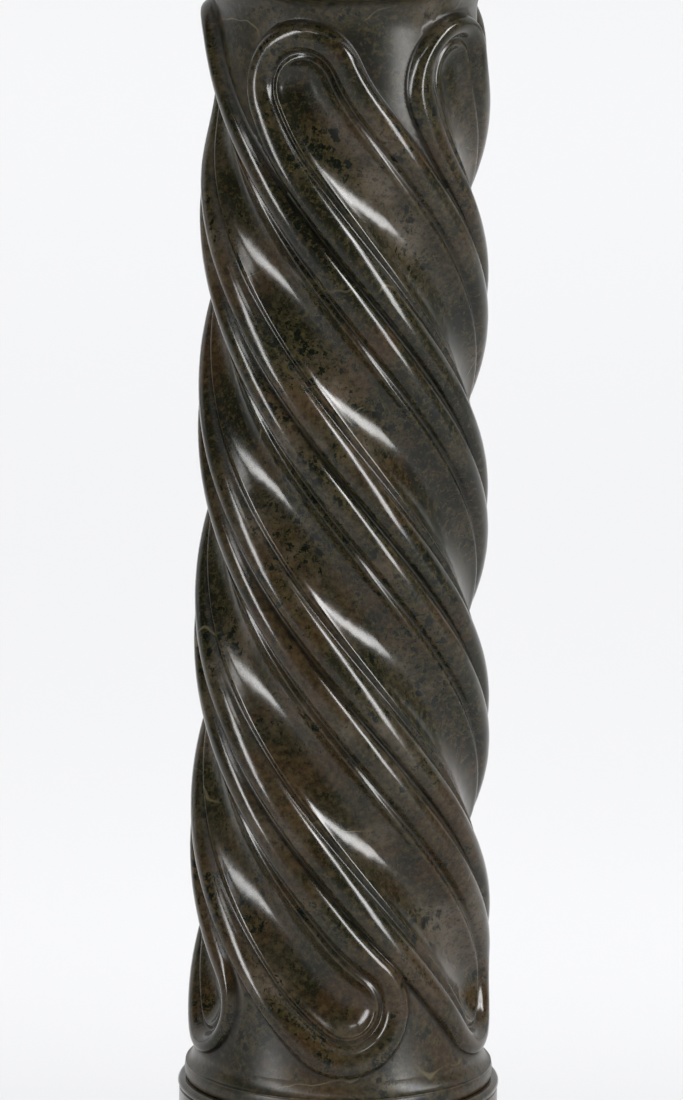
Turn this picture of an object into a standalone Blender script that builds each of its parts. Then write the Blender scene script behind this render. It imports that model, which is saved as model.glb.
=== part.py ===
"""Marble pedestal stand: a shaft with five spiral flutes between a turned base and capital.

Five blocks stand on one another: plinth, base, shaft, capital and top slab.
All sizes are in metres. The origin is the middle of the plinth's underside, and
the shaft's unwrapped surface is measured as (x, z), x running around it.
"""
import math

import bmesh
import bpy
from mathutils import Vector
from mathutils.geometry import delaunay_2d_cdt

# Bed joints between the blocks
JOINT_GAP = 0.0003

# Plinth, a square slab with a rounded upper edge
PLINTH_WIDTH = 0.280
PLINTH_HEIGHT = 0.050
PLINTH_EDGE = 0.008

# Base, turned: torus, scotia, astragal, cavetto and the drum under the shaft
BASE_HEIGHT = 0.1972
BASE_TORUS_RADIUS = 0.132
BASE_TORUS_HEIGHT = 0.046
BASE_SCOTIA_RADIUS = 0.091
BASE_SCOTIA_HEIGHT = 0.046
BASE_FILLET_HEIGHT = 0.005
BASE_FILLET_STEP = 0.014
BASE_ASTRAGAL_RADIUS = 0.101
BASE_ASTRAGAL_HEIGHT = 0.017
BASE_ASTRAGAL_PROUD = 0.00425
SCOTIA_THROAT_SHARE = 0.62
TORUS_TOP_ANGLE = 78.0
DRUM_RADIUS = 0.0830
DRUM_FOOT_RADIUS = 0.091
DRUM_FOOT_HEIGHT = 0.016
LIP_HEIGHT = 0.0055
LIP_PROUD = 0.0006
LIP_QUIRK = 0.0006
LIP_FOOT_ANGLE = -60.0

# Shaft, cut from one block
SHAFT_HEIGHT = 0.5874
FOOT_RING_HEIGHT = 0.0081
FOOT_RING_BULGE = 0.0010
FOOT_BAND_HEIGHT = 0.0081
FOOT_BAND_RADIUS = 0.0796
FLARE_RADIUS = 0.0755
FLARE_HEIGHT = 0.026
NECK_RADIUS = 0.0667
NECK_BLEND = 0.068
NECK_FLARE_HEIGHT = 0.0185
NECK_FLARE_WIDTH = 0.0105
NECK_RING_HEIGHT = 0.0080
NECK_RING_BULGE = 0.0010

# Spiral flutes, each a long hollow with round ends inside a raised rim
FLUTES = 5
WRAP_RADIUS = 0.0750
FULL_TURN_RISE = 0.5538
FLUTE_TURN = math.radians(0.1)
CREST_RADIUS_TOP = 0.0741
CREST_RADIUS_FOOT = 0.0786
SWELL_RISE = 0.409
LAND_BELOW_LOOPS = 0.0013
LAND_ABOVE_LOOPS = 0.0197
BAND_MARGIN = 0.0015
HOLLOW_DEPTH = 0.0140
HOLLOW_RADIUS = 0.0190
QUIRK_DEPTH = 0.0058
QUIRK_EDGE = 0.0195
RIM_CREST = 0.0288
RIM_INNER_DROP = 0.0051
VALLEY_DEPTH = 0.0052
RIM_ROUNDING = 3
LOOP_LEAN = 0.0040
LEAN_LENGTH = 0.035

# Capital, turned: astragal, bell and disc
CAPITAL_HEIGHT = 0.1645
ASTRAGAL_RADIUS = 0.0825
ASTRAGAL_HEIGHT = 0.015
BELL_FOOT_RADIUS = 0.0745
BELL_RADIUS = 0.116
BELL_FILLET = 0.006
ASTRAGAL_TOP_ANGLE = 80.0
DISC_RADIUS = 0.128
DISC_HEIGHT = 0.026

# Top slab
TOP_WIDTH = 0.290
TOP_HEIGHT = 0.040
TOP_EDGE = 0.012

# Stone
STONE_COLOUR = (0.060, 0.052, 0.040)
STONE_ROUGHNESS = 0.20

# Facets
SHARP_ANGLE = 40.0
STEPS_PER_FLUTE = 8
STEPS_PER_SHIFT = 3
CAP_STEPS = 7
ARC_STEPS = 3
CAVETTO_STEPS = 2
TORUS_STEPS = 5
BELL_STEPS = 5
NECK_STEPS = 2
HOLLOW_RING_SHARE = 0.55
RIM_RING_SHARE = 0.45
LAST_STEP_SHARE = 0.3
ROW_SHARE = 0.8
MARGIN_SHARE = 0.42
WELD = 0.000002

# Heights that follow from the blocks' own sizes
BASE_FOOT = PLINTH_HEIGHT + JOINT_GAP
SHAFT_FOOT = BASE_FOOT + BASE_HEIGHT + JOINT_GAP
SHAFT_TOP = SHAFT_FOOT + SHAFT_HEIGHT
CAPITAL_FOOT = SHAFT_TOP + JOINT_GAP
TOP_FOOT = CAPITAL_FOOT + CAPITAL_HEIGHT + JOINT_GAP
FLARE_FOOT = SHAFT_FOOT + FOOT_RING_HEIGHT + FOOT_BAND_HEIGHT
NECK_RING_FOOT = SHAFT_TOP - NECK_RING_HEIGHT
NECK_FLARE_FOOT = NECK_RING_FOOT - NECK_FLARE_HEIGHT

# The flutes' lie on the unwrapped shaft
PITCH = math.tau * WRAP_RADIUS / FLUTES
SLANT = math.atan(math.tau * WRAP_RADIUS / FULL_TURN_RISE)
ALONG = Vector((-math.sin(SLANT), math.cos(SLANT)))
ACROSS = Vector((math.cos(SLANT), math.sin(SLANT)))
HALF_WIDTH = PITCH * math.cos(SLANT) / 2
SHIFT = PITCH * math.sin(SLANT)
LOOPS_FOOT = FLARE_FOOT + LAND_BELOW_LOOPS
LOOPS_TOP = SHAFT_TOP - LAND_ABOVE_LOOPS
LOWER_CENTRE = Vector((WRAP_RADIUS * FLUTE_TURN, LOOPS_FOOT + HALF_WIDTH))
UPPER_CENTRE_Z = LOOPS_TOP - HALF_WIDTH
FLUTE_LENGTH = (UPPER_CENTRE_Z - LOWER_CENTRE.y - LOOP_LEAN * ACROSS.y) / ALONG.y
HOLLOW_EDGE = math.sqrt(HOLLOW_RADIUS ** 2 - (HOLLOW_RADIUS - HOLLOW_DEPTH + QUIRK_DEPTH) ** 2)
RIM_INNER_SHOULDER = RIM_CREST - RIM_RING_SHARE * (RIM_CREST - QUIRK_EDGE)
RIM_OUTER_SHOULDER = RIM_CREST + RIM_RING_SHARE * (HALF_WIDTH - RIM_CREST)
LOOP_OFFSETS = (
    HOLLOW_EDGE * HOLLOW_RING_SHARE,
    HOLLOW_EDGE,
    QUIRK_EDGE,
    RIM_INNER_SHOULDER,
    RIM_OUTER_SHOULDER,
    HALF_WIDTH,
)


def eased(value):
    """Ease from 0 to 1 with level ends."""
    value = min(max(value, 0.0), 1.0)
    return value * value * (3.0 - 2.0 * value)


def crest_radius(z):
    """Radius of the rims' crests, which swell towards the foot."""
    swell = eased(1.0 - (z - LOOPS_FOOT) / SWELL_RISE)
    return CREST_RADIUS_TOP + (CREST_RADIUS_FOOT - CREST_RADIUS_TOP) * swell


def ground_radius(z):
    """Radius of the valleys between rims, of the neck and of the flares at its top and foot."""
    neck = eased((z - LOOPS_TOP + NECK_BLEND) / NECK_BLEND)
    body = crest_radius(z) - VALLEY_DEPTH
    body += (NECK_RADIUS - body) * neck
    flare = min(max(1.0 - (z - FLARE_FOOT) / FLARE_HEIGHT, 0.0), 1.0)
    body += (FLARE_RADIUS - body) * flare ** 2
    rise = min(max((z - NECK_FLARE_FOOT) / NECK_FLARE_HEIGHT, 0.0), 1.0)
    return body + NECK_FLARE_WIDTH * (1.0 - math.sqrt(1.0 - rise ** 2))


def centre_point(along):
    """Point on a flute's centre line, which leans upright near its upper end."""
    lean = max(along - FLUTE_LENGTH + LEAN_LENGTH, 0.0) / LEAN_LENGTH
    return LOWER_CENTRE + ALONG * along + ACROSS * LOOP_LEAN * lean ** 2


def centre_heading(along):
    """Direction of the centre line at a point."""
    lean = max(along - FLUTE_LENGTH + LEAN_LENGTH, 0.0) / LEAN_LENGTH
    return (ALONG + ACROSS * 2.0 * LOOP_LEAN * lean / LEAN_LENGTH).normalized()


def side_stations():
    """Distances along the centre line at which the loops have vertices."""
    step = SHIFT / STEPS_PER_SHIFT
    count = int(FLUTE_LENGTH / step - LAST_STEP_SHARE) + 1
    return [step * i for i in range(count)] + [FLUTE_LENGTH]


def distance_to_flute(point):
    """Distance from a point of the unwrapped shaft to the nearest centre line."""
    path = [centre_point(along) for along in side_stations()]
    nearest = math.inf
    for turn in (-1, 0, 1):
        probe = point - Vector((PITCH * turn, 0.0))
        for start, end in zip(path, path[1:]):
            run = end - start
            share = min(max((probe - start).dot(run) / run.length_squared, 0.0), 1.0)
            nearest = min(nearest, (probe - start - run * share).length)
    return nearest


def shaft_radius(point):
    """Radius of the carved surface at a point of the unwrapped shaft."""
    distance = distance_to_flute(point)
    crest = crest_radius(point.y)
    if distance < HOLLOW_EDGE:
        arc = HOLLOW_RADIUS - math.sqrt(HOLLOW_RADIUS ** 2 - distance ** 2)
        return crest - HOLLOW_DEPTH + arc
    if distance < QUIRK_EDGE:
        share = (QUIRK_EDGE - distance) / (QUIRK_EDGE - HOLLOW_EDGE)
        return crest - RIM_INNER_DROP - (QUIRK_DEPTH - RIM_INNER_DROP) * share
    if distance < RIM_CREST:
        share = (RIM_CREST - distance) / (RIM_CREST - QUIRK_EDGE)
        return crest - RIM_INNER_DROP * share ** RIM_ROUNDING
    share = min((distance - RIM_CREST) / (HALF_WIDTH - RIM_CREST), 1.0)
    return crest - (crest - ground_radius(point.y)) * share ** RIM_ROUNDING


def loop_side(offset, side):
    """One side of a loop at an offset from the centre line, lower apex to upper apex."""
    lower = [
        LOWER_CENTRE + (ACROSS * side * math.sin(turn) - ALONG * math.cos(turn)) * offset
        for turn in (math.pi / 2 * i / CAP_STEPS for i in range(CAP_STEPS))
    ]
    flank = []
    for along in side_stations():
        heading = centre_heading(along)
        flank.append(centre_point(along) + Vector((heading.y, -heading.x)) * side * offset)
    heading = centre_heading(FLUTE_LENGTH)
    outward = Vector((heading.y, -heading.x)) * side
    upper = [
        centre_point(FLUTE_LENGTH) + (outward * math.cos(turn) + heading * math.sin(turn)) * offset
        for turn in (math.pi / 2 * i / CAP_STEPS for i in range(1, CAP_STEPS + 1))
    ]
    return lower + flank + upper


def seam():
    """Line down a flute's middle, from the neck through its apexes to the flare."""
    upper = [loop_side(offset, 1)[-1] for offset in LOOP_OFFSETS]
    lower = [loop_side(offset, 1)[0] for offset in LOOP_OFFSETS]
    middle = [centre_point(along) for along in side_stations()]
    neck = Vector((upper[-1].x, band_top()))
    foot = Vector((lower[-1].x, FLARE_FOOT))
    return [foot] + lower[::-1] + middle + upper + [neck]


def band_top():
    """Height where the carved band ends in the plain neck."""
    return LOOPS_TOP + BAND_MARGIN


def spandrel_points(near):
    """Points in rows on the plain ground between the loops' ends, right of the near seam."""
    spacing = PITCH / STEPS_PER_FLUTE
    row_rise = spacing * ROW_SHARE
    rows = int(SHIFT / row_rise)
    points = []
    for row in range(1, rows):
        for height in (FLARE_FOOT + row_rise * row, band_top() - row_rise * row):
            start = seam_place(near, height)
            for column in range(STEPS_PER_FLUTE):
                aside = LOWER_CENTRE.x + spacing * (column + row % 2 / 2) - start
                point = Vector((start + aside % PITCH, height))
                if distance_to_flute(point) > HALF_WIDTH + spacing * MARGIN_SHARE:
                    points.append(point)
    return points


def seam_place(line, height):
    """Where a seam crosses a height."""
    for low, high in zip(line, line[1:]):
        if low.y <= height <= high.y:
            return low.x + (high.x - low.x) * (height - low.y) / (high.y - low.y)
    return line[-1].x


def flute_patch():
    """Vertices and triangles from one flute's middle to the next, unwrapped."""
    near = seam()
    step = Vector((PITCH, 0.0))
    far = [point + step for point in near]
    foot_row = [near[0].lerp(far[0], i / STEPS_PER_FLUTE) for i in range(1, STEPS_PER_FLUTE)]
    neck_row = [near[-1].lerp(far[-1], i / STEPS_PER_FLUTE) for i in range(1, STEPS_PER_FLUTE)]
    points = near[::-1] + foot_row + far + neck_row[::-1]
    outline = list(range(len(points)))
    edges = []
    for offset in LOOP_OFFSETS:
        for line in (loop_side(offset, 1), [point + step for point in loop_side(offset, -1)]):
            first = len(points)
            points.extend(line)
            edges.extend((first + i, first + i + 1) for i in range(len(line) - 1))

    points.extend(spandrel_points(near))
    coords, _, faces, _, _, _ = delaunay_2d_cdt(points, edges, [outline], 1, WELD)
    return coords, faces


def add_rings(bm, profile, start_angle, segments, cap_top=False, cap_foot=False):
    """Turn a profile of (radius, height) pairs, listed from the top down."""
    rings = []
    for radius, height in profile:
        ring = []
        for i in range(segments):
            angle = start_angle + math.tau * i / segments
            ring.append(bm.verts.new((radius * math.sin(angle), -radius * math.cos(angle), height)))
        rings.append(ring)
    for upper, lower in zip(rings, rings[1:]):
        for i in range(segments):
            nxt = (i + 1) % segments
            bm.faces.new((upper[i], lower[i], lower[nxt], upper[nxt]))
    if cap_top:
        bm.faces.new(rings[0])
    if cap_foot:
        bm.faces.new(rings[-1][::-1])


def arc(centre, radii, start_degrees, end_degrees, steps=ARC_STEPS):
    """Points of an elliptical arc in a (radius, height) profile."""
    points = []
    for i in range(steps + 1):
        angle = math.radians(start_degrees + (end_degrees - start_degrees) * i / steps)
        points.append((centre[0] + radii[0] * math.cos(angle), centre[1] + radii[1] * math.sin(angle)))
    return points


def marble(block):
    """Polished dark stone for one block."""
    material = bpy.data.materials.new("marble_" + block)
    material.use_nodes = True
    shader = material.node_tree.nodes["Principled BSDF"]
    shader.inputs["Base Color"].default_value = (*STONE_COLOUR, 1.0)
    shader.inputs["Roughness"].default_value = STONE_ROUGHNESS
    shader.inputs["Metallic"].default_value = 0.0
    return material


def finish(bm, name):
    """Close the mesh, face it outwards and make the named object."""
    bmesh.ops.remove_doubles(bm, verts=bm.verts, dist=WELD * 2)
    bmesh.ops.recalc_face_normals(bm, faces=bm.faces)
    mesh = bpy.data.meshes.new(name)
    bm.to_mesh(mesh)
    bm.free()
    mesh.materials.append(marble(name))
    mesh.shade_smooth()
    mesh.set_sharp_from_angle(angle=math.radians(SHARP_ANGLE))
    piece = bpy.data.objects.new(name, mesh)
    bpy.context.scene.collection.objects.link(piece)
    return piece


def build_shaft():
    """The carved shaft with its foot ring, flare and neck."""
    bm = bmesh.new()
    coords, faces = flute_patch()
    radii = [shaft_radius(point) for point in coords]
    for flute in range(FLUTES):
        verts = []
        for point, radius in zip(coords, radii):
            angle = (point.x + PITCH * flute) / WRAP_RADIUS
            verts.append(bm.verts.new((radius * math.sin(angle), -radius * math.cos(angle), point.y)))
        for face in faces:
            bm.faces.new([verts[i] for i in face])
    segments = FLUTES * STEPS_PER_FLUTE
    ends = seam()
    neck_ring = arc(
        (NECK_RADIUS + NECK_FLARE_WIDTH, SHAFT_TOP - NECK_RING_HEIGHT / 2),
        (NECK_RING_BULGE, NECK_RING_HEIGHT / 2), 90, -90, CAVETTO_STEPS,
    )
    neck_rise = (NECK_RING_FOOT - band_top()) / NECK_STEPS
    neck = [NECK_RING_FOOT - neck_rise * i for i in range(1, NECK_STEPS + 1)]
    neck_flare = [(ground_radius(height), height) for height in neck]
    add_rings(bm, neck_ring + neck_flare, ends[-1].x / WRAP_RADIUS, segments, cap_top=True)
    band_foot = SHAFT_FOOT + FOOT_RING_HEIGHT
    band_width = FOOT_BAND_RADIUS - FLARE_RADIUS
    ring_middle = SHAFT_FOOT + FOOT_RING_HEIGHT / 2
    band = arc((FOOT_BAND_RADIUS, FLARE_FOOT), (band_width, FOOT_BAND_HEIGHT), 180, 270)
    ring_radius = FOOT_BAND_RADIUS - FOOT_RING_BULGE / 2
    ring = arc((ring_radius, ring_middle), (FOOT_RING_BULGE, FOOT_RING_HEIGHT / 2), 90, -90)
    add_rings(bm, band + ring[1:], ends[0].x / WRAP_RADIUS, segments, cap_foot=True)
    return finish(bm, "shaft")


def build_base():
    """The turned base: drum with its lip, cavetto, astragal, scotia and torus."""
    top = BASE_FOOT + BASE_HEIGHT
    foot = BASE_FOOT
    torus_top = foot + BASE_TORUS_HEIGHT
    scotia_foot = torus_top + BASE_FILLET_HEIGHT
    scotia_top = scotia_foot + BASE_SCOTIA_HEIGHT
    astragal_foot = scotia_top + BASE_FILLET_HEIGHT
    astragal_top = astragal_foot + BASE_ASTRAGAL_HEIGHT
    cavetto_top = astragal_top + DRUM_FOOT_HEIGHT
    lip_middle = top - LIP_HEIGHT / 2
    lip_bulge = LIP_HEIGHT / 2
    torus_bulge = BASE_TORUS_HEIGHT / 2
    torus_fillet = BASE_TORUS_RADIUS - BASE_FILLET_STEP
    scotia_lip = BASE_ASTRAGAL_RADIUS - BASE_ASTRAGAL_PROUD
    lip_radius = DRUM_RADIUS + LIP_PROUD - lip_bulge
    profile = arc((lip_radius, lip_middle), (lip_bulge, lip_bulge), 90, LIP_FOOT_ANGLE)
    profile += [(DRUM_RADIUS, top - LIP_HEIGHT - LIP_QUIRK)]
    cavetto_width = DRUM_FOOT_RADIUS - DRUM_RADIUS
    profile += arc(
        (DRUM_FOOT_RADIUS, cavetto_top), (cavetto_width, DRUM_FOOT_HEIGHT), 180, 270, CAVETTO_STEPS,
    )
    profile += arc(
        (BASE_ASTRAGAL_RADIUS - BASE_ASTRAGAL_HEIGHT / 2, (astragal_foot + astragal_top) / 2),
        (BASE_ASTRAGAL_HEIGHT / 2, BASE_ASTRAGAL_HEIGHT / 2), 90, -90,
    )
    profile += [(scotia_lip, astragal_foot), (scotia_lip, scotia_top)]
    scotia_middle = scotia_foot + BASE_SCOTIA_HEIGHT * SCOTIA_THROAT_SHARE
    profile += arc(
        (scotia_lip, scotia_middle),
        (scotia_lip - BASE_SCOTIA_RADIUS, scotia_top - scotia_middle), 90, 180, CAVETTO_STEPS,
    )[1:]
    profile += arc(
        (torus_fillet, scotia_middle),
        (torus_fillet - BASE_SCOTIA_RADIUS, scotia_middle - scotia_foot), 180, 270,
    )[1:]
    profile += [(torus_fillet, torus_top)]
    profile += arc(
        (BASE_TORUS_RADIUS - torus_bulge, foot + torus_bulge), (torus_bulge, torus_bulge),
        TORUS_TOP_ANGLE, -90, TORUS_STEPS,
    )
    bm = bmesh.new()
    add_rings(bm, profile, 0.0, FLUTES * STEPS_PER_FLUTE, cap_top=True, cap_foot=True)
    return finish(bm, "base")


def build_capital():
    """The turned capital: disc, bell and astragal."""
    top = CAPITAL_FOOT + CAPITAL_HEIGHT
    foot = CAPITAL_FOOT
    disc_foot = top - DISC_HEIGHT
    bell_top = disc_foot - BELL_FILLET
    bell_foot = foot + ASTRAGAL_HEIGHT
    disc_bulge = DISC_HEIGHT / 2
    bead_bulge = ASTRAGAL_HEIGHT / 2
    profile = arc((DISC_RADIUS - disc_bulge / 2, disc_foot + disc_bulge), (disc_bulge / 2, disc_bulge), 90, -90)
    profile += [(BELL_RADIUS, disc_foot), (BELL_RADIUS, bell_top)]
    profile += arc(
        (BELL_RADIUS, bell_foot + BELL_FILLET),
        (BELL_RADIUS - BELL_FOOT_RADIUS, bell_top - bell_foot - BELL_FILLET), 90, 180, BELL_STEPS,
    )[1:]
    profile += [(BELL_FOOT_RADIUS, bell_foot)]
    bead_middle = (ASTRAGAL_RADIUS - bead_bulge, foot + bead_bulge)
    profile += arc(bead_middle, (bead_bulge, bead_bulge), ASTRAGAL_TOP_ANGLE, -90)
    bm = bmesh.new()
    add_rings(bm, profile, 0.0, FLUTES * STEPS_PER_FLUTE, cap_top=True, cap_foot=True)
    return finish(bm, "capital")


def build_slab(name, width, foot, height, edge, edge_up):
    """A square slab with one rounded edge, above or below."""
    levels = [(width / 2 - edge + edge * math.sin(math.pi / 2 * i / ARC_STEPS),
               edge * (1 - math.cos(math.pi / 2 * i / ARC_STEPS))) for i in range(ARC_STEPS + 1)]
    if edge_up:
        outline = [(half, foot + height - drop) for half, drop in levels] + [(width / 2, foot)]
    else:
        outline = [(width / 2, foot + height)] + [(half, foot + drop) for half, drop in levels[::-1]]
    bm = bmesh.new()
    diagonal = math.sqrt(2.0)
    add_rings(bm, [(half * diagonal, z) for half, z in outline], math.pi / 4, 4, cap_top=True, cap_foot=True)
    return finish(bm, name)


def build_pedestal():
    """All five blocks, foot to top."""
    build_slab("plinth", PLINTH_WIDTH, 0.0, PLINTH_HEIGHT, PLINTH_EDGE, True)
    build_base()
    build_shaft()
    build_capital()
    build_slab("top", TOP_WIDTH, TOP_FOOT, TOP_HEIGHT, TOP_EDGE, False)


for leftover in list(bpy.data.objects):
    bpy.data.objects.remove(leftover)
build_pedestal()
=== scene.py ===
import math

import bpy
import numpy as np
from mathutils import Matrix, Vector
from mathutils.geometry import delaunay_2d_cdt


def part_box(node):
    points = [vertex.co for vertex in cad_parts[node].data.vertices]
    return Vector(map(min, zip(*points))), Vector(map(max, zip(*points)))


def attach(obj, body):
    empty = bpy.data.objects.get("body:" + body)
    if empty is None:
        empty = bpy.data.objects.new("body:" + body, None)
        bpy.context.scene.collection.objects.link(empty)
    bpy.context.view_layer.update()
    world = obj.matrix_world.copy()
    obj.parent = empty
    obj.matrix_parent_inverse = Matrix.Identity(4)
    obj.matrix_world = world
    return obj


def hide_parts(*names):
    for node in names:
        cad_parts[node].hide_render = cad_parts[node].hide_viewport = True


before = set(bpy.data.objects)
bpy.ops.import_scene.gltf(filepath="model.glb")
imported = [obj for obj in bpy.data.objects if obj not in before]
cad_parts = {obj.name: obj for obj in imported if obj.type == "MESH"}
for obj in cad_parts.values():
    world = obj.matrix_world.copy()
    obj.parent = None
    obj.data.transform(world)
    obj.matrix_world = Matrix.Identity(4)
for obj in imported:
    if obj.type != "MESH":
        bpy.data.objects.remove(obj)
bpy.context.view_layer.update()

# Plinth: the square foot slab that carries the column, sawn from the same dark marble,
# its upper edge rounded over and its faces polished. The column's base lies on it in a
# thin bed, held by weight alone.
plinth_low, plinth_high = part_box("plinth")
PLINTH_ROUNDING = 0.008
ARRIS_EASING = 0.0012
CORNER_ROUNDING = 0.0018
CORNER_TAPER = 0.6
CORNER_POINTS = 7
SLAB_SHARP_DEGREES = 50
# The stone's colours, as the red, green and blue that it reflects
CLOUDS = (
    (0.37, (0.0042, 0.0045, 0.0023)),
    (0.46, (0.0130, 0.0126, 0.0057)),
    (0.56, (0.0375, 0.0300, 0.0175)),
    (0.66, (0.0840, 0.0690, 0.0510)),
)
RUST = (0.0500, 0.0270, 0.0110)
OCHRE = (0.0400, 0.0345, 0.0115)
PALE_MOTTLE = (0.0700, 0.0540, 0.0240)
DARK_MOTTLE = (0.0060, 0.0058, 0.0030)
BLACK_FLECK = (0.0018, 0.0036, 0.0024)
PALE_GRAIN = (0.0900, 0.0780, 0.0480)
DARK_GRAIN = (0.0050, 0.0046, 0.0026)
PALE_VEIN = (0.1700, 0.1450, 0.0800)
# Dirt with painted shade, laid into the grooves and the crease round the loops
GROOVE_DIRT_AND_SHADE = (0.0050, 0.0042, 0.0028)
MARBLE_IOR = 1.45
RUST_MIDDLE_HEIGHT = 0.58
RELIEF_HEIGHT = 0.0005
SCRATCH_STRETCH = 0.05


class Socket:
    """A value among some nodes, on which Python's operators add maths nodes."""

    def __init__(self, nodes, output):
        self.nodes = nodes
        self.output = output

    def math(self, operation, *values):
        return self.nodes.node("ShaderNodeMath", {"operation": operation}, (self, *values))

    def __add__(self, other):
        return self.math("ADD", other)

    __radd__ = __add__

    def __mul__(self, other):
        return self.math("MULTIPLY", other)

    __rmul__ = __mul__

    def __sub__(self, other):
        return self.math("SUBTRACT", other)

    def __rsub__(self, other):
        return self.nodes.node("ShaderNodeMath", {"operation": "SUBTRACT"}, (other, self))

    def between(self, low, high):
        """0 at the low value, 1 at the high one, smooth from one to the other and level outside."""
        return self.nodes.node(
            "ShaderNodeMapRange", {"interpolation_type": "SMOOTHSTEP"},
            {"Value": self, "From Min": low, "From Max": high, "To Min": 0.0, "To Max": 1.0}, "Result")


class Nodes:
    """The nodes of one material, or of the room's light, made one at a time."""

    def __init__(self, owner):
        owner.use_nodes = True
        self.tree = owner.node_tree

    def node(self, kind, settings=None, inputs=(), output=0):
        """A node with its settings first, then its sockets' values or links."""
        node = self.tree.nodes.new(kind)
        for name, value in (settings or {}).items():
            if name == "stops":
                ramp = node.color_ramp.elements
                for stop, (place, colour) in zip(ramp, (value[0], value[-1])):
                    stop.position = place
                    stop.color = (*colour, 1.0)
                for place, colour in value[1:-1]:
                    ramp.new(place).color = (*colour, 1.0)
            else:
                setattr(node, name, value)
        for key, value in inputs.items() if isinstance(inputs, dict) else enumerate(inputs):
            self.plug(node.inputs[key], value)
        return Socket(self, node.outputs[output])

    def plug(self, socket, value):
        if isinstance(value, Socket):
            self.tree.links.new(value.output, socket)
        else:
            socket.default_value = value

    def mix(self, share, first, second):
        """One colour over another by a share."""
        first, second = [(*c, 1.0) if isinstance(c, tuple) else c for c in (first, second)]
        return self.node("ShaderNodeMix", {"data_type": "RGBA"}, {0: share, 6: first, 7: second}, 2)

    def noise(self, place, scale, detail=3.0, roughness=0.55, output=0):
        return self.node("ShaderNodeTexNoise", {"noise_dimensions": "3D"},
                         {"Vector": place, "Scale": scale, "Detail": detail, "Roughness": roughness}, output)

    def cells(self, place, scale):
        """Distance from the middle of the nearest cell."""
        return self.node("ShaderNodeTexVoronoi", {"feature": "F1"}, {"Vector": place, "Scale": scale},
                         "Distance")

    def shifted(self, place, amount):
        return self.node("ShaderNodeVectorMath", {"operation": "ADD"}, (place, amount))

    def scaled(self, place, factor):
        return self.node("ShaderNodeVectorMath", {"operation": "SCALE"}, {0: place, "Scale": factor})

    def parts(self, place):
        """The X, Y and Z of a place."""
        split = self.node("ShaderNodeSeparateXYZ", {}, (place,)).output.node
        return [Socket(self, output) for output in split.outputs]


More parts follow.
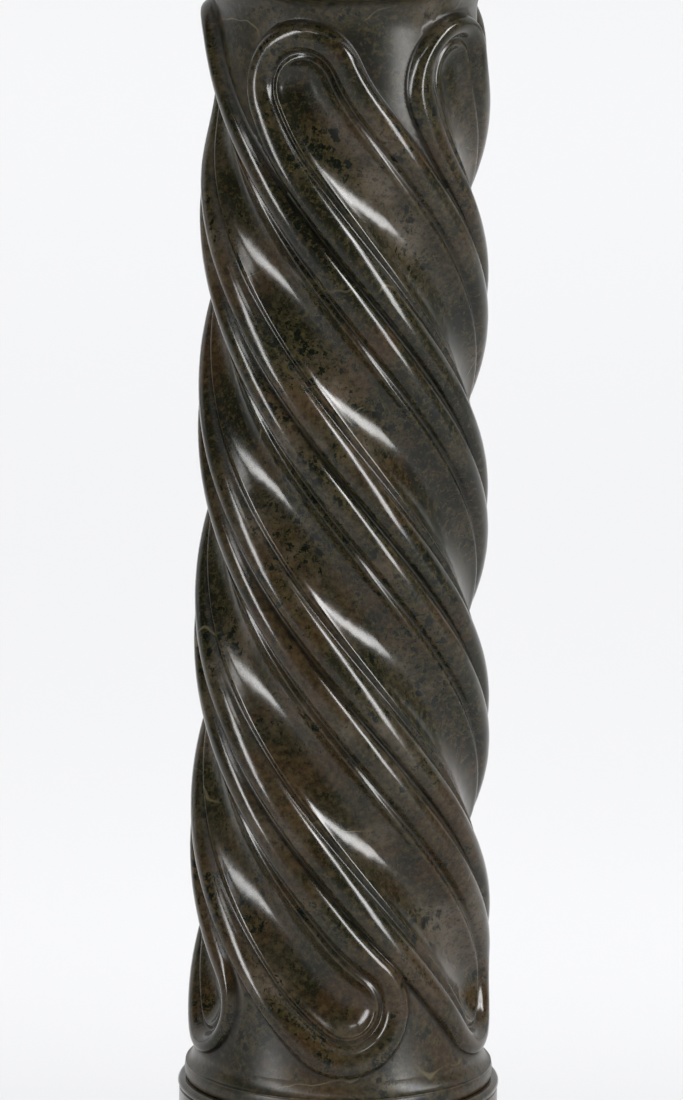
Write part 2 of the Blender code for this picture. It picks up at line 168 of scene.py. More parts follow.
def dark_marble(name, shift, polishing=None, carved=False):
    """Polished serpentine: brown and olive ground, black flecks in ochre clusters, thin pale veins."""
    material = bpy.data.materials.new(name)
    stone = Nodes(material)
    spot = stone.node("ShaderNodeTexCoord", output="Object")
    x, y, z = stone.parts(spot)
    place = stone.shifted(spot, shift)
    drift = stone.shifted(stone.noise(place, 24.0, 3.0, 0.6, "Color"), (-0.5, -0.5, -0.5))
    warped = stone.shifted(place, stone.scaled(drift, 0.022))

    # Ground: slow clouds of olive, umber and grey brown, with more rust towards the foot
    ground = stone.node("ShaderNodeValToRGB", {"stops": CLOUDS}, (stone.noise(warped, 17.0, 6.0, 0.66),))
    rust = stone.noise(stone.shifted(warped, (3.1, 1.7, 5.3)), 14.0, 6.0, 0.70)
    rust = rust + (RUST_MIDDLE_HEIGHT - z) * 0.13
    ground = stone.mix(rust.between(0.48, 0.61) * 0.60, ground, RUST)

    # Ochre and olive mottling, and the black flecks that sit in it
    cluster = stone.noise(stone.shifted(warped, (7.7, 2.9, 0.4)), 22.0, 5.0, 0.66).between(0.42, 0.60)
    mottle = stone.noise(stone.shifted(place, (0.6, 4.8, 2.1)), 330.0, 4.0, 0.66)
    ragged = stone.shifted(warped, stone.scaled(stone.noise(place, 430.0, 3.0, 0.7, "Color"), 0.0085))
    large = stone.cells(ragged, 150.0)
    small = stone.cells(ragged, 340.0)
    halo = (cluster * 0.85 - large).between(0.00, 0.45) * 0.55
    ground = stone.mix(halo, ground, OCHRE)
    ground = stone.mix(mottle.between(0.50, 0.64) * 0.40, ground, PALE_MOTTLE)
    ground = stone.mix(mottle.between(0.50, 0.36) * 0.55, ground, DARK_MOTTLE)
    large_flecks = (cluster * 0.42 - large).between(0.00, 0.08)
    small_flecks = (cluster * 0.42 - small).between(0.00, 0.10) * 0.85
    ground = stone.mix(large_flecks.math("MAXIMUM", small_flecks) * 0.94, ground, BLACK_FLECK)

    # Grain of a millimetre or less
    grain = stone.noise(place, 900.0, 3.0, 0.7)
    ground = stone.mix(grain.between(0.52, 0.74) * 0.25, ground, PALE_GRAIN)
    ground = stone.mix(grain.between(0.48, 0.30) * 0.40, ground, DARK_GRAIN)

    # Veins: hairlines of pale yellow, nearly level, that break off and start again
    level = stone.parts(place)[2] * 9.0 + stone.noise(place, 7.0, 4.0, 0.5) * 2.2
    hairline = (level.math("FRACT") - 0.5).math("ABSOLUTE").between(0.0085, 0.0020)
    broken = stone.noise(stone.shifted(warped, (2.0, 3.3, 1.1)), 20.0, 3.0, 0.6).between(0.50, 0.60)
    ground = stone.mix(hairline * broken * 0.42, ground, PALE_VEIN)

    # Polish: glossy, with duller patches and fine scratches left by the last rubbing
    dull = stone.noise(stone.shifted(place, (5.0, 5.5, 0.9)), 45.0, 4.0, 0.6).between(0.38, 0.70)
    if polishing is None:
        rubbed = stone.node("ShaderNodeVectorMath", {"operation": "MULTIPLY"}, (place, (1.0, 0.06, 1.0)))
    else:
        radius, slant = polishing
        around = x.math("ARCTAN2", 0.0 - y) * radius
        across = around * math.cos(slant) + z * math.sin(slant)
        along = z * (SCRATCH_STRETCH * math.cos(slant)) - around * (SCRATCH_STRETCH * math.sin(slant))
        rubbed = stone.node("ShaderNodeCombineXYZ", {}, (across, along, 0.0))
    scratch = stone.noise(rubbed, 1500.0, 2.0, 0.6)
    finish = 0.150 + dull * 0.050 + scratch.between(0.55, 0.80) * 0.040
    waves = stone.noise(place, 70.0, 2.0, 0.5)
    relief = waves * 0.30 + stone.noise(place, 420.0, 2.0, 0.5) * 0.014 + scratch * 0.012

    # Carving: dirt and painted shade darken the grooves and the crease round the loops, and a duller polish lies
    # in the grooves and on the ground between the loops
    if carved:
        groove = stone.node("ShaderNodeAttribute", {"attribute_name": "groove"}, output="Fac")
        plain = stone.node("ShaderNodeAttribute", {"attribute_name": "plain_ground"}, output="Fac")
        ground = stone.mix(groove * 0.62, ground, GROOVE_DIRT_AND_SHADE)
        finish = finish + groove * 0.16 + plain * 0.16
        relief = relief + plain * scratch * 0.050
    bump = stone.node("ShaderNodeBump", {},
                      {"Strength": 1.0, "Distance": RELIEF_HEIGHT, "Height": relief}, "Normal")
    shader = stone.tree.nodes["Principled BSDF"]
    stone.plug(shader.inputs["Base Color"], ground)
    stone.plug(shader.inputs["Roughness"], finish)
    stone.plug(shader.inputs["Normal"], bump)
    shader.inputs["IOR"].default_value = MARBLE_IOR
    return material


def place_piece(name, points, faces, node, material, sharp_degrees=None):
    """Make the block's mesh and let it stand for its solid."""
    mesh = bpy.data.meshes.new(name)
    mesh.from_pydata(points, [], faces)
    mesh.validate()
    mesh.shade_smooth()
    if sharp_degrees is not None:
        mesh.set_sharp_from_angle(angle=math.radians(sharp_degrees))
    mesh.materials.append(material)
    piece = bpy.data.objects.new(name, mesh)
    bpy.context.scene.collection.objects.link(piece)
    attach(piece, "root")
    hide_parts(node)
    return piece


def slab(name, low, high, rounding, rounded_above, node, material):
    """A square slab: one long edge rounded over, the others eased, the upright corners soft."""
    half = (high.x - low.x) / 2
    quarter = [math.pi / 2 * i / 8 for i in range(9)]
    over = [(rounding * (1 - math.sin(a)), rounding * (1 - math.cos(a))) for a in quarter]
    eased = [(ARRIS_EASING * (1 - math.sin(a)), ARRIS_EASING * (1 - math.cos(a))) for a in quarter[::2]]
    upper, lower = (over, eased) if rounded_above else (eased, over)
    levels = [(inset, high.z - drop) for inset, drop in upper]
    levels += [(0.0, high.z + (low.z - high.z) * share) for share in (0.4, 0.5, 0.6)]
    levels += [(inset, low.z + rise) for inset, rise in lower[::-1]]
    points = []
    for inset, z in levels:
        corner = CORNER_ROUNDING + inset * CORNER_TAPER
        reach = half - inset - corner
        for turn in range(4):
            side = math.pi / 2 * turn + math.pi / 4
            cx = reach * math.sqrt(2) * math.cos(side)
            cy = reach * math.sqrt(2) * math.sin(side)
            for step in range(CORNER_POINTS):
                angle = math.pi / 2 * (turn + step / (CORNER_POINTS - 1))
                points.append((cx + corner * math.cos(angle), cy + corner * math.sin(angle), z))
    ring = 4 * CORNER_POINTS
    faces = [(r * ring + i, (r + 1) * ring + i, (r + 1) * ring + (i + 1) % ring, r * ring + (i + 1) % ring)
             for r in range(len(levels) - 1) for i in range(ring)]
    faces.append(tuple(range(ring)))
    faces.append(tuple((len(levels) - 1) * ring + i for i in range(ring))[::-1])
    return place_piece(name, points, faces, node, material, SLAB_SHARP_DEGREES)


slab("plinth_slab", plinth_low, plinth_high, PLINTH_ROUNDING, True, "plinth",
     dark_marble("plinth_marble", (0.31, 0.12, 0.05)))

# Base: one block turned on a lathe. From the foot: a fat torus, a scotia between fillets,
# an astragal, a cavetto, and the drum with its small lip under the shaft. It lies on the
# plinth and carries the shaft on its flat top.
base_low, base_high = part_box("base")
TORUS_RADIUS = 0.132
TORUS_HEIGHT = 0.046
SCOTIA_RADIUS = 0.091
SCOTIA_HEIGHT = 0.046
BASE_FILLET = 0.005
TORUS_FILLET_STEP = 0.014
BASE_BEAD_RADIUS = 0.101
BASE_BEAD_HEIGHT = 0.017
BASE_BEAD_PROUD = 0.00425
SCOTIA_THROAT = 0.62
DRUM_RADIUS = 0.0830
DRUM_FOOT_RADIUS = 0.091
DRUM_FOOT_HEIGHT = 0.016
LIP_HEIGHT = 0.0055
LIP_PROUD = 0.0006
BED_EASING = 0.0006
TURNED_SEGMENTS = 160
LATHE_WANDER = 0.00008
TURNED_SHARP_DEGREES = 38


def arc(centre, radii, start_degrees, end_degrees, steps=14):
    """Points of an elliptical arc in a (radius, height) profile."""
    angles = np.radians(np.linspace(start_degrees, end_degrees, steps + 1))
    return [(centre[0] + radii[0] * math.cos(a), centre[1] + radii[1] * math.sin(a)) for a in angles]


def turned(name, profile, node, material):
    """A block turned from a profile listed from the top down, with the lathe's slight wander."""
    segments = TURNED_SEGMENTS
    points = []
    for level, (radius, height) in enumerate(profile):
        for i in range(segments):
            angle = math.tau * i / segments
            reach = radius + LATHE_WANDER * math.sin(3 * angle + level * 0.7)
            points.append((reach * math.sin(angle), -reach * math.cos(angle), height))
    faces = [(r * segments + i, (r + 1) * segments + i,
              (r + 1) * segments + (i + 1) % segments, r * segments + (i + 1) % segments)
             for r in range(len(profile) - 1) for i in range(segments)]
    faces.append(tuple(range(segments)))
    faces.append(tuple((len(profile) - 1) * segments + i for i in range(segments))[::-1])
    return place_piece(name, points, faces, node, material, TURNED_SHARP_DEGREES)


base_top = base_high.z
base_foot = base_low.z
torus_top = base_foot + TORUS_HEIGHT
scotia_foot = torus_top + BASE_FILLET
scotia_top = scotia_foot + SCOTIA_HEIGHT
scotia_middle = scotia_foot + SCOTIA_HEIGHT * SCOTIA_THROAT
bead_foot = scotia_top + BASE_FILLET
bead_top = bead_foot + BASE_BEAD_HEIGHT
drum_foot_top = bead_top + DRUM_FOOT_HEIGHT
scotia_lip = BASE_BEAD_RADIUS - BASE_BEAD_PROUD
torus_fillet = TORUS_RADIUS - TORUS_FILLET_STEP
lip_middle = base_top - LIP_HEIGHT / 2
lip_radius = DRUM_RADIUS + LIP_PROUD - LIP_HEIGHT / 2
base_profile = arc((lip_radius, lip_middle), (LIP_HEIGHT / 2, LIP_HEIGHT / 2), 90, -62)
base_profile += arc((DRUM_RADIUS - BED_EASING, base_top - LIP_HEIGHT - BED_EASING),
                    (BED_EASING, BED_EASING), 60, 0, 5)
base_profile += arc((DRUM_FOOT_RADIUS, drum_foot_top),
                    (DRUM_FOOT_RADIUS - DRUM_RADIUS, DRUM_FOOT_HEIGHT), 180, 270)
base_profile += arc((BASE_BEAD_RADIUS - BASE_BEAD_HEIGHT / 2, (bead_foot + bead_top) / 2),
                    (BASE_BEAD_HEIGHT / 2, BASE_BEAD_HEIGHT / 2), 90, -90)
base_profile += [(scotia_lip, bead_foot), (scotia_lip, scotia_top)]
base_profile += arc((scotia_lip, scotia_middle),
                    (scotia_lip - SCOTIA_RADIUS, scotia_top - scotia_middle), 90, 180)[1:]
base_profile += arc((torus_fillet, scotia_middle),
                    (torus_fillet - SCOTIA_RADIUS, scotia_middle - scotia_foot), 180, 270)[1:]
base_profile += [(torus_fillet, torus_top)]
base_profile += arc((TORUS_RADIUS - TORUS_HEIGHT / 2, base_foot + TORUS_HEIGHT / 2),
                    (TORUS_HEIGHT / 2, TORUS_HEIGHT / 2), 78, -90, 24)
turned("turned_base", base_profile, "base",
       dark_marble("base_marble", (0.77, 0.45, 0.20), (DRUM_RADIUS, math.pi / 2)))

# Shaft: one block, turned to a foot ring, a small hollow band and a plain neck, then carved
# by hand with five spiral flutes. Each flute is a long hollow with round ends, edged by a
# fine arris and a groove, inside a raised rim that loops round both ends.
shaft_low, shaft_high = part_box("shaft")
FLUTES = 5
WRAP_RADIUS = 0.0750
FULL_TURN_RISE = 0.5538
FLUTE_TURN = math.radians(0.1)
FOOT_RING_HEIGHT = 0.0081
FOOT_RING_BULGE = 0.0010
FOOT_BAND_HEIGHT = 0.0081
FOOT_BAND_RADIUS = 0.0796
FLARE_RADIUS = 0.0755
FLARE_HEIGHT = 0.026
NECK_RADIUS = 0.0667
NECK_BLEND = 0.068
NECK_FLARE_HEIGHT = 0.0185
NECK_FLARE_WIDTH = 0.0105
NECK_RING_HEIGHT = 0.0080
NECK_RING_BULGE = 0.0010
CREST_RADIUS_TOP = 0.0741
CREST_RADIUS_FOOT = 0.0786
SWELL_RISE = 0.409
LAND_BELOW_LOOPS = 0.0013
LAND_ABOVE_LOOPS = 0.0197
BAND_MARGIN = 0.0015
HOLLOW_DEPTH = 0.0140
HOLLOW_RADIUS = 0.0190
VALLEY_DEPTH = 0.0052
LEAN_LENGTH = 0.035
RIM_CREST = 0.0287
RIM_FOOT = 0.0208
# The carver's hand: how far each loop's ends lean across, and how much further the hollow goes
UPPER_LEAN = (0.0048, 0.0040, 0.0040, 0.0015, 0.0046)
LOWER_LEAN = (0.0020, 0.0000, 0.0005, 0.0005, 0.0000)
UPPER_HOLLOW_SHIFT = (0.0035, 0.0, 0.0, 0.0, 0.0)
LOWER_HOLLOW_SHIFT = (0.0020, 0.0, 0.0, 0.0, 0.0)
UPPER_HOLLOW_REACH = (0.0015, 0.0, 0.0, 0.0, 0.0)
LOWER_HOLLOW_REACH = (0.0, 0.0035, 0.0, 0.0, 0.0050)
# Cross-section beside the hollow: distance from the flute's middle, depth under the crest, slope
RIM_SECTION = (
    (0.01400, 0.00785, -1.09),
    (0.01580, 0.00590, 0.00),
    (0.01730, 0.00625, 0.45),
    (0.01900, 0.00680, 0.00),
    (0.02080, 0.00390, -1.40),
    (0.02330, 0.00150, -0.60),
    (0.02870, 0.00000, 0.00),
)
# Distances from the flute's middle, and past the loops, at which the mesh has a line of points
SECTION_STEPS = (
    0.0, 0.005, 0.0095, 0.0125, 0.0140, 0.0149, 0.0158, 0.0166, 0.0174, 0.0182, 0.0190, 0.0197,
    0.0203, 0.0209, 0.0218, 0.0230, 0.0247, 0.0266, 0.0287, 0.0305, 0.0320, 0.0332, 0.0342, 0.0351,
)
GROUND_STEPS = (0.0006, 0.0015, 0.0028)
ROW_POINTS = 40
ROW_RISE = 0.87
ROW_CLEARANCE = 0.35
CAP_SPACING = 0.0022
LEAST_CAP_RADIUS = 0.012
LEAST_CAP_POINTS = 6
EDGE_MARGIN = 0.0006
SEAM_MARGIN = 0.0004
# One rim, high on the left, was rubbed flatter than its round
WORN_TURN = math.radians(-108)
WORN_HEIGHT = 0.756
WORN_WIDTH = 0.038
WORN_RISE = 0.027
WORN_DEPTH = 0.0036
# Where dirt and painted shade darken the grooves and the crease round the loops, and where the duller polish of
# the plain ground starts
GROOVE_PLACE = 0.0189
GROOVE_SPREAD = 0.0010
GROOVE_SHARE = 0.7
CREASE_SPREAD = 0.0011
PLAIN_LEAD = 0.0012
PLAIN_SPREAD = 0.0020

PITCH = math.tau * WRAP_RADIUS / FLUTES
SLANT = math.atan(math.tau * WRAP_RADIUS / FULL_TURN_RISE)
ALONG = np.array((-math.sin(SLANT), math.cos(SLANT)))
ACROSS = np.array((math.cos(SLANT), math.sin(SLANT)))
HALF_WIDTH = PITCH * math.cos(SLANT) / 2
flare_foot = shaft_low.z + FOOT_RING_HEIGHT + FOOT_BAND_HEIGHT
loops_foot = flare_foot + LAND_BELOW_LOOPS
loops_top = shaft_high.z - LAND_ABOVE_LOOPS
lower_centre = np.array((WRAP_RADIUS * FLUTE_TURN, loops_foot + HALF_WIDTH))
upper_centre_z = loops_top - HALF_WIDTH
band_top = loops_top + BAND_MARGIN
neck_ring_foot = shaft_high.z - NECK_RING_HEIGHT
neck_flare_foot = neck_ring_foot - NECK_FLARE_HEIGHT


def eased(value):
    """Ease from 0 to 1 with level ends."""
    value = np.clip(value, 0.0, 1.0)
    return value * value * (3.0 - 2.0 * value)


def crest_radius(z):
    """Radius of the rims' crests, which swell towards the foot."""
    return CREST_RADIUS_TOP + (CREST_RADIUS_FOOT - CREST_RADIUS_TOP) * eased(1.0 - (z - loops_foot) / SWELL_RISE)


def ground_radius(z):
    """Radius of the valleys between rims, of the neck and of the flares at its top and foot."""
    neck = eased((z - loops_top + NECK_BLEND) / NECK_BLEND)
    body = crest_radius(z) - VALLEY_DEPTH
    body = body + (NECK_RADIUS - body) * neck
    flare = np.clip(1.0 - (z - flare_foot) / FLARE_HEIGHT, 0.0, 1.0)
    body = body + (FLARE_RADIUS - body) * flare ** 2
    rise = np.clip((z - neck_flare_foot) / NECK_FLARE_HEIGHT, 0.0, 1.0)
    return body + NECK_FLARE_WIDTH * (1.0 - np.sqrt(1.0 - rise ** 2))


def centre_line(flute, hollow, count=140):
    """Points and headings down the middle of a flute's rim, or of the hollow inside it."""
    own = flute % FLUTES
    upper, lower = UPPER_LEAN[own], LOWER_LEAN[own]
    rise = ACROSS[1] / ALONG[1]
    foot = -lower * rise
    top = (upper_centre_z - lower_centre[1]) / ALONG[1] - upper * rise
    along = np.linspace(foot, top, count + 1)
    to_top = np.maximum(along - top + LEAN_LENGTH, 0.0) / LEAN_LENGTH
    to_foot = np.maximum(foot + LEAN_LENGTH - along, 0.0) / LEAN_LENGTH
    if hollow:
        upper = upper + UPPER_HOLLOW_SHIFT[own]
        lower = lower + LOWER_HOLLOW_SHIFT[own]
        along = along + UPPER_HOLLOW_REACH[own] * to_top ** 2 - LOWER_HOLLOW_REACH[own] * to_foot ** 2
    aside = upper * to_top ** 2 + lower * to_foot ** 2
    points = lower_centre + np.array((PITCH * flute, 0.0)) + np.outer(along, ALONG) + np.outer(aside, ACROSS)
    headings = np.gradient(points, axis=0)
    return points, headings / np.linalg.norm(headings, axis=1)[:, None]


def distance_to_line(points, path):
    """Distance from unwrapped points to a line of points."""
    start, run = path[:-1], path[1:] - path[:-1]
    square = (run ** 2).sum(axis=1)
    gaps = []
    for first in range(0, len(points), 2000):
        part = points[first:first + 2000, None, :] - start[None]
        share = np.clip((part * run).sum(axis=2) / square, 0.0, 1.0)
        gaps.append(np.linalg.norm(part - run * share[..., None], axis=2).min(axis=1))
    return np.concatenate(gaps) if gaps else np.zeros(0)


def place_in_section(points, flutes):
    """Each point's place in the flutes' cross-section, and its distance from the nearest rim's middle."""
    section = np.full(len(points), np.inf)
    outside = np.full(len(points), np.inf)
    for flute in flutes:
        to_rim = distance_to_line(points, centre_line(flute, False)[0])
        to_hollow = distance_to_line(points, centre_line(flute, True)[0])
        inward = np.maximum(to_hollow - RIM_FOOT, 0.0)
        outward = np.maximum(HALF_WIDTH - to_rim, 0.0)
        on_rim = RIM_FOOT + (HALF_WIDTH - RIM_FOOT) * inward / np.maximum(inward + outward, 1e-9)
        section = np.minimum(section, np.where(to_hollow <= RIM_FOOT, to_hollow, on_rim))
        outside = np.minimum(outside, to_rim)
    return section, outside


def carved_radius(points, distance):
    """Radius of the carved surface: hollow, arris, groove, rim, and the fall to the ground."""
    crest = crest_radius(points[:, 1])
    hollow = HOLLOW_DEPTH - HOLLOW_RADIUS + np.sqrt(np.maximum(HOLLOW_RADIUS ** 2 - distance ** 2, 0.0))
    depth = np.where(distance < RIM_SECTION[0][0], hollow, 0.0)
    for (d0, h0, s0), (d1, h1, s1) in zip(RIM_SECTION, RIM_SECTION[1:]):
        t = (distance - d0) / (d1 - d0)
        wide = d1 - d0
        curve = (h0 * (2 * t ** 3 - 3 * t ** 2 + 1) + s0 * wide * (t ** 3 - 2 * t ** 2 + t)
                 + h1 * (3 * t ** 2 - 2 * t ** 3) + s1 * wide * (t ** 3 - t ** 2))
        depth = np.where((distance >= d0) & (distance < d1), curve, depth)
    fall = np.clip((distance - RIM_CREST) / (HALF_WIDTH - RIM_CREST), 0.0, 1.0)
    outer = (crest - ground_radius(points[:, 1])) * fall ** 2.6
    return crest - np.where(distance >= RIM_CREST, outer, depth)


def side_of_line(flute, hollow, offset, side, cap):
    """One side of a loop round a centre line, from the lower apex to the upper one."""
    path, headings = centre_line(flute, hollow)
    outward = np.stack((headings[:, 1], -headings[:, 0]), axis=1) * side
    turns = np.arange(cap) * math.pi / 2 / cap
    lower = path[0] + offset * (np.outer(np.sin(turns), outward[0]) - np.outer(np.cos(turns), headings[0]))
    turns = np.arange(1, cap + 1) * math.pi / 2 / cap
    upper = path[-1] + offset * (np.outer(np.cos(turns), outward[-1]) + np.outer(np.sin(turns), headings[-1]))
    return np.concatenate((lower, path + outward * offset, upper))


def loop_side(flute, offset, side):
    """One side of a loop at a place in the cross-section."""
    arc_length = math.pi / 2 * max(offset, LEAST_CAP_RADIUS)
    cap = max(int(arc_length / CAP_SPACING), LEAST_CAP_POINTS)
    if offset <= RIM_FOOT:
        return side_of_line(flute, True, offset, side, cap)
    share = (offset - RIM_FOOT) / (HALF_WIDTH - RIM_FOOT)
    inner = side_of_line(flute, True, RIM_FOOT, side, cap)
    outer = side_of_line(flute, False, HALF_WIDTH, side, cap)
    return inner + (outer - inner) * share


def seam(flute):
    """Line down a flute's middle, from the flare through its apexes to the neck."""
    offsets = SECTION_STEPS[1:] + (HALF_WIDTH,)
    upper = np.array([loop_side(flute, offset, 1)[-1] for offset in offsets])
    lower = np.array([loop_side(flute, offset, 1)[0] for offset in offsets])
    middle, _ = centre_line(flute, True)
    foot = np.stack((np.full(3, lower[-1][0]), np.linspace(flare_foot, lower[-1][1], 4)[:3]), axis=1)
    neck = np.stack((np.full(3, upper[-1][0]), np.linspace(upper[-1][1], band_top, 4)[1:]), axis=1)
    return np.concatenate((foot, lower[::-1], middle, upper, neck))


def crossing(line, height):
    """Where a seam crosses a height."""
    order = np.argsort(line[:, 1], kind="stable")
    return float(np.interp(height, line[order, 1], line[order, 0]))


def within(line, near, far):
    """Which points lie between two seams."""
    starts = np.array([crossing(near, height) for height in line[:, 1]])
    ends = np.array([crossing(far, height) for height in line[:, 1]])
    return (line[:, 0] > starts + SEAM_MARGIN) & (line[:, 0] < ends - SEAM_MARGIN)


def flute_patch(flute):
    """Vertices and triangles from the middle of one flute to the middle of the next, unwrapped."""
    near, far = seam(flute), seam(flute + 1)
    neighbours = (flute - 1, flute, flute + 1, flute + 2)
    shares = np.arange(1, ROW_POINTS)[:, None] / ROW_POINTS
    foot_row = near[0] + (far[0] - near[0]) * shares
    neck_row = near[-1] + (far[-1] - near[-1]) * shares
    outline = np.concatenate((near[::-1], foot_row, far, neck_row[::-1]))
    points = [outline]
    edges = []
    count = len(outline)
    for offset in SECTION_STEPS[1:] + (HALF_WIDTH,):
        for line in (loop_side(flute, offset, 1), loop_side(flute + 1, offset, -1)):
            points.append(line)
            edges.extend((count + i, count + i + 1) for i in range(len(line) - 1))
            count += len(line)
    for step in GROUND_STEPS:
        for line in (loop_side(flute, HALF_WIDTH + step, 1), loop_side(flute + 1, HALF_WIDTH + step, -1)):
            _, gap = place_in_section(line, neighbours)
            inside = (line[:, 1] > flare_foot + EDGE_MARGIN) & (line[:, 1] < band_top - EDGE_MARGIN)
            points.append(line[inside & (gap > HALF_WIDTH + step - 0.00005) & within(line, near, far)])
    spacing = PITCH / ROW_POINTS
    for row in range(1, 36):
        rise = spacing * ROW_RISE * row
        for height in (flare_foot + rise, band_top - rise):
            start, end = crossing(near, height), crossing(far, height)
            xs = np.arange(start + spacing * (0.5 + row % 2 / 2), end, spacing)
            line = np.stack((xs, np.full(len(xs), height)), axis=1)
            _, gap = place_in_section(line, neighbours)
            points.append(line[gap > HALF_WIDTH + GROUND_STEPS[-1] + spacing * ROW_CLEARANCE])
    points = np.concatenate(points)
    flat = [Vector(p) for p in points]
    coords, _, triangles, _, _, _ = delaunay_2d_cdt(flat, edges, [list(range(len(outline)))], 1, 1e-6)
    return np.array([tuple(c) for c in coords]), triangles


def worn_place(points):
    """How far the surface lies under its round at a rim that was rubbed flatter, high on the left."""
    turn = (points[:, 0] / WRAP_RADIUS - WORN_TURN + math.pi) % math.tau - math.pi
    spread = (turn * WRAP_RADIUS / WORN_WIDTH) ** 2 + ((points[:, 1] - WORN_HEIGHT) / WORN_RISE) ** 2
    return WORN_DEPTH * np.exp(-spread)


shaft_points = []
shaft_faces = []
grooves = []
plains = []
for flute in range(FLUTES):
    coords, triangles = flute_patch(flute)
    section, gaps = place_in_section(coords, (flute - 1, flute, flute + 1, flute + 2))
    radii = carved_radius(coords, section) - worn_place(coords)
    angles = coords[:, 0] / WRAP_RADIUS
    # Groove share: dirt with painted shade in the cove groove and in the crease where each rim meets the ground
    in_groove = np.exp(-((section - GROOVE_PLACE) / GROOVE_SPREAD) ** 2) * GROOVE_SHARE
    in_crease = np.exp(-((gaps - HALF_WIDTH) / CREASE_SPREAD) ** 2)
    grooves.extend(np.maximum(in_groove, in_crease))
    plains.extend(eased((gaps - HALF_WIDTH + PLAIN_LEAD) / PLAIN_SPREAD))
    first = len(shaft_points)
    shaft_points.extend(zip(radii * np.sin(angles), -radii * np.cos(angles), coords[:, 1]))
    shaft_faces.extend(tuple(first + i for i in face) for face in triangles)


def turned_rows(profile, start_angle, segments, cap_first=False, cap_last=False):
    """Add a turned band to the shaft, listed from the top down."""
    first = len(shaft_points)
    grooves.extend([0.0] * (len(profile) * segments))
    plains.extend([1.0] * (len(profile) * segments))
    for radius, height in profile:
        for i in range(segments):
            angle = start_angle + math.tau * i / segments
            shaft_points.append((radius * math.sin(angle), -radius * math.cos(angle), height))
    for r in range(len(profile) - 1):
        for i in range(segments):
            j = (i + 1) % segments
            a, b = first + r * segments, first + (r + 1) * segments
            shaft_faces.append((a + i, b + i, b + j, a + j))
    if cap_first:
        shaft_faces.append(tuple(first + i for i in range(segments)))
    if cap_last:
        last = first + (len(profile) - 1) * segments
        shaft_faces.append(tuple(last + i for i in range(segments))[::-1])


band_foot = shaft_low.z + FOOT_RING_HEIGHT
ring_middle = shaft_low.z + FOOT_RING_HEIGHT / 2
ring_radius = FOOT_BAND_RADIUS - FOOT_RING_BULGE / 2
neck_ring_radius = NECK_RADIUS + NECK_FLARE_WIDTH
neck_profile = [(neck_ring_radius - 0.0006, shaft_high.z)]
neck_profile += arc((neck_ring_radius, shaft_high.z - NECK_RING_HEIGHT / 2),
                    (NECK_RING_BULGE, NECK_RING_HEIGHT / 2), 72, -72, 10)
neck_profile += [(ground_radius(z), z) for z in
                 neck_ring_foot - (neck_ring_foot - band_top) * np.sin(np.linspace(0.02, math.pi / 2, 14)) ** 2]
foot_profile = arc((FOOT_BAND_RADIUS, flare_foot),
                   (FOOT_BAND_RADIUS - FLARE_RADIUS, FOOT_BAND_HEIGHT), 180, 262, 9)
foot_profile += arc((FOOT_BAND_RADIUS - 0.0004, band_foot - 0.0003), (0.0005, 0.0004), 60, -10, 3)
foot_profile += arc((ring_radius, ring_middle), (FOOT_RING_BULGE, FOOT_RING_HEIGHT / 2), 60, -72, 9)
foot_profile += [(ring_radius - 0.0007, shaft_low.z)]
segments = FLUTES * ROW_POINTS
turned_rows(neck_profile, seam(0)[-1][0] / WRAP_RADIUS, segments, cap_first=True)
turned_rows(foot_profile, seam(0)[0][0] / WRAP_RADIUS, segments, cap_last=True)
shaft = place_piece("carved_shaft", shaft_points, shaft_faces, "shaft",
                    dark_marble("shaft_marble", (0.0, 0.0, 0.0), (WRAP_RADIUS, SLANT), carved=True))
for name, values in (("groove", grooves), ("plain_ground", plains)):
    shaft.data.attributes.new(name, "FLOAT", "POINT").data.foreach_set("value", values)
weld = shaft.modifiers.new("weld", "WELD")
weld.merge_threshold = 0.00002

# Capital: one turned block that spreads the load from the shaft to the slab: an astragal,
# a bell that flares from the neck, a fillet, and a thick rounded disc.
capital_low, capital_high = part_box("capital")
NECK_BEAD_RADIUS = 0.0825
NECK_BEAD_HEIGHT = 0.015
BELL_FOOT_RADIUS = 0.0745
BELL_RADIUS = 0.116
BELL_FILLET = 0.006
DISC_RADIUS = 0.128
DISC_HEIGHT = 0.026
disc_foot = capital_high.z - DISC_HEIGHT
bell_top = disc_foot - BELL_FILLET
bell_foot = capital_low.z + NECK_BEAD_HEIGHT
capital_profile = arc((DISC_RADIUS - DISC_HEIGHT / 4, disc_foot + DISC_HEIGHT / 2),
                      (DISC_HEIGHT / 4, DISC_HEIGHT / 2), 90, -90, 20)
capital_profile += [(BELL_RADIUS, disc_foot), (BELL_RADIUS, bell_top)]
capital_profile += arc((BELL_RADIUS, bell_foot + BELL_FILLET),
                       (BELL_RADIUS - BELL_FOOT_RADIUS, bell_top - bell_foot - BELL_FILLET), 90, 180, 28)[1:]
capital_profile += [(BELL_FOOT_RADIUS, bell_foot)]
capital_profile += arc((NECK_BEAD_RADIUS - NECK_BEAD_HEIGHT / 2, capital_low.z + NECK_BEAD_HEIGHT / 2),
                       (NECK_BEAD_HEIGHT / 2, NECK_BEAD_HEIGHT / 2), 80, -90, 18)
turned("turned_capital", capital_profile, "capital",
       dark_marble("capital_marble", (0.15, 0.91, 0.60), (BELL_RADIUS, math.pi / 2)))

# Top slab: the square slab that the displayed piece stands on, sawn and polished like the
# plinth, with its lower edge rounded under. It lies on the capital by its own weight.
top_low, top_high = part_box("top")
TOP_ROUNDING = 0.012
slab("top_slab", top_low, top_high, TOP_ROUNDING, False, "top", dark_marble("top_marble", (0.52, 0.33, 0.88)))

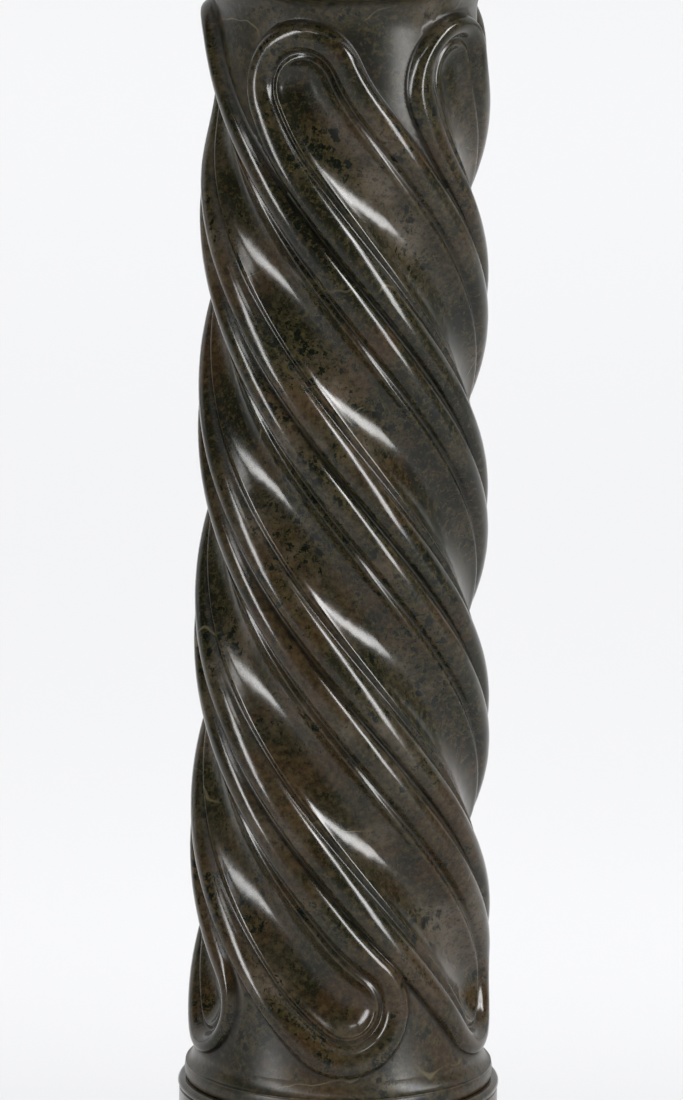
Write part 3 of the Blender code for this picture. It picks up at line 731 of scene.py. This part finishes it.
# Floor: a wide sheet of pale paper under and behind the stand, a little paler further back.
FLOOR_REACH = 30
NEAR_PAPER = (0.640, 0.640, 0.648)
FAR_PAPER = (0.775, 0.775, 0.785)
floor_mesh = bpy.data.meshes.new("floor")
floor_mesh.from_pydata([(-FLOOR_REACH, -FLOOR_REACH, 0), (FLOOR_REACH, -FLOOR_REACH, 0),
                        (FLOOR_REACH, FLOOR_REACH, 0), (-FLOOR_REACH, FLOOR_REACH, 0)], [], [(0, 1, 2, 3)])
floor_material = bpy.data.materials.new("floor_paper")
floor_paper = Nodes(floor_material)
floor_place = floor_paper.node("ShaderNodeTexCoord", output="Object")
floor_depth = floor_paper.parts(floor_place)[1]
floor_share = floor_depth.between(0.5, 4.5) * 0.9 + floor_paper.noise(floor_place, 0.4, 1.0) * 0.1
floor_shader = floor_paper.tree.nodes["Principled BSDF"]
floor_paper.plug(floor_shader.inputs["Base Color"], floor_paper.mix(floor_share, NEAR_PAPER, FAR_PAPER))
floor_shader.inputs["Roughness"].default_value = 0.9
floor_shader.inputs["Specular IOR Level"].default_value = 0.0
floor_mesh.materials.append(floor_material)
floor = bpy.data.objects.new("floor", floor_mesh)
bpy.context.scene.collection.objects.link(floor)

# Lights: a long soft box leaning on each side of the camera, a smaller lamp above each, a
# wide light over the paper behind the stand, and a room that is dark on the camera's side
# and pale behind.
LAMP_DISTANCE = 2.3
LAMP_AIM_HEIGHT = 0.55
BOX_SPREAD_DEGREES = 125


def facing_column(azimuth, elevation, lean):
    """A place round the column that faces it, leaning to the right by some degrees."""
    turn, rise = math.radians(azimuth), math.radians(elevation)
    away = Vector((math.sin(turn) * math.cos(rise), -math.cos(turn) * math.cos(rise), math.sin(rise)))
    facing = (-away).to_track_quat("-Z", "Y").to_matrix() @ Matrix.Rotation(math.radians(-lean), 3, "Z")
    return Matrix.Translation(away * LAMP_DISTANCE + Vector((0.0, 0.0, LAMP_AIM_HEIGHT))) @ facing.to_4x4()


def box_light(name, wide, tall, radiance, spread_degrees, place):
    """A box light with a grid, shining along its own -Z with the same radiance all over."""
    lamp = bpy.data.lights.new(name, "AREA")
    lamp.shape = "RECTANGLE"
    lamp.size = wide
    lamp.size_y = tall
    half_spread = math.radians(spread_degrees) / 2
    lamp.spread = half_spread * 2
    lamp.energy = radiance * math.pi * wide * tall * (1.0 - half_spread / math.tan(half_spread))
    holder = bpy.data.objects.new(name, lamp)
    holder.matrix_world = place
    holder.visible_camera = False
    bpy.context.scene.collection.objects.link(holder)


box_light("right_soft_box", 0.47, 2.30, 18.5, BOX_SPREAD_DEGREES, facing_column(60, 15, 31))
box_light("right_upper_lamp", 0.85, 0.26, 12.0, BOX_SPREAD_DEGREES, facing_column(78, 31.0, 0))
box_light("left_soft_box", 0.37, 1.95, 17.5, BOX_SPREAD_DEGREES, facing_column(-48, 11, 20))
box_light("left_upper_lamp", 0.18, 0.85, 9.0, BOX_SPREAD_DEGREES, facing_column(-20, 42, 60))
box_light("paper_light", 6.4, 6.5, 8.6, 60, Matrix.Translation((-0.2, 3.80, 1.5)))

world = bpy.data.worlds.new("room")
bpy.context.scene.world = world
room = Nodes(world)
_, room_depth, room_height = room.parts(room.node("ShaderNodeTexCoord", output="Generated"))
behind = room_depth.between(0.15, 0.55) * 0.68
ceiling = room_height.between(0.62, 0.86) * 0.50
background = room.tree.nodes["Background"]
background.inputs["Color"].default_value = (0.98, 0.99, 1.0, 1.0)
room.plug(background.inputs["Strength"], behind.math("MAXIMUM", ceiling) + 0.02)
bpy.context.scene.view_settings.view_transform = "Standard"

# Camera: a long lens a little above the column's middle, looking slightly down, as in the
# picture. The column's ends lie outside its view.
LOOK_HEIGHT = 0.5277
CAMERA_DISTANCE = 5.0
CAMERA_LIFT = math.radians(12.7)
CAMERA_ROLL = math.radians(0.41)
PICTURE_WIDTH = 683
PICTURE_HEIGHT = 1100
AXIS_COLUMN = 342.0
PIXELS_PER_RADIAN = 9700.0
camera_place = Vector((0.0, -CAMERA_DISTANCE * math.cos(CAMERA_LIFT),
                       LOOK_HEIGHT + CAMERA_DISTANCE * math.sin(CAMERA_LIFT)))
forward = (Vector((0, 0, LOOK_HEIGHT)) - camera_place).normalized()
level = Vector((1, 0, 0))
upright = level.cross(forward)
rolled_right = level * math.cos(CAMERA_ROLL) + upright * math.sin(CAMERA_ROLL)
rolled_up = upright * math.cos(CAMERA_ROLL) - level * math.sin(CAMERA_ROLL)
camera_data = bpy.data.cameras.new("camera")
camera_data.sensor_fit = "AUTO"
camera_data.sensor_width = 36.0
camera_data.lens = PIXELS_PER_RADIAN / PICTURE_HEIGHT * camera_data.sensor_width
camera_data.shift_x = -(AXIS_COLUMN - PICTURE_WIDTH / 2) / PICTURE_HEIGHT
camera_data.clip_end = 100.0
camera = bpy.data.objects.new("camera", camera_data)
camera.matrix_world = (Matrix.Translation(camera_place)
                       @ Matrix((rolled_right, rolled_up, -forward)).transposed().to_4x4())
bpy.context.scene.collection.objects.link(camera)
bpy.context.scene.camera = camera

bpy.context.view_layer.update()
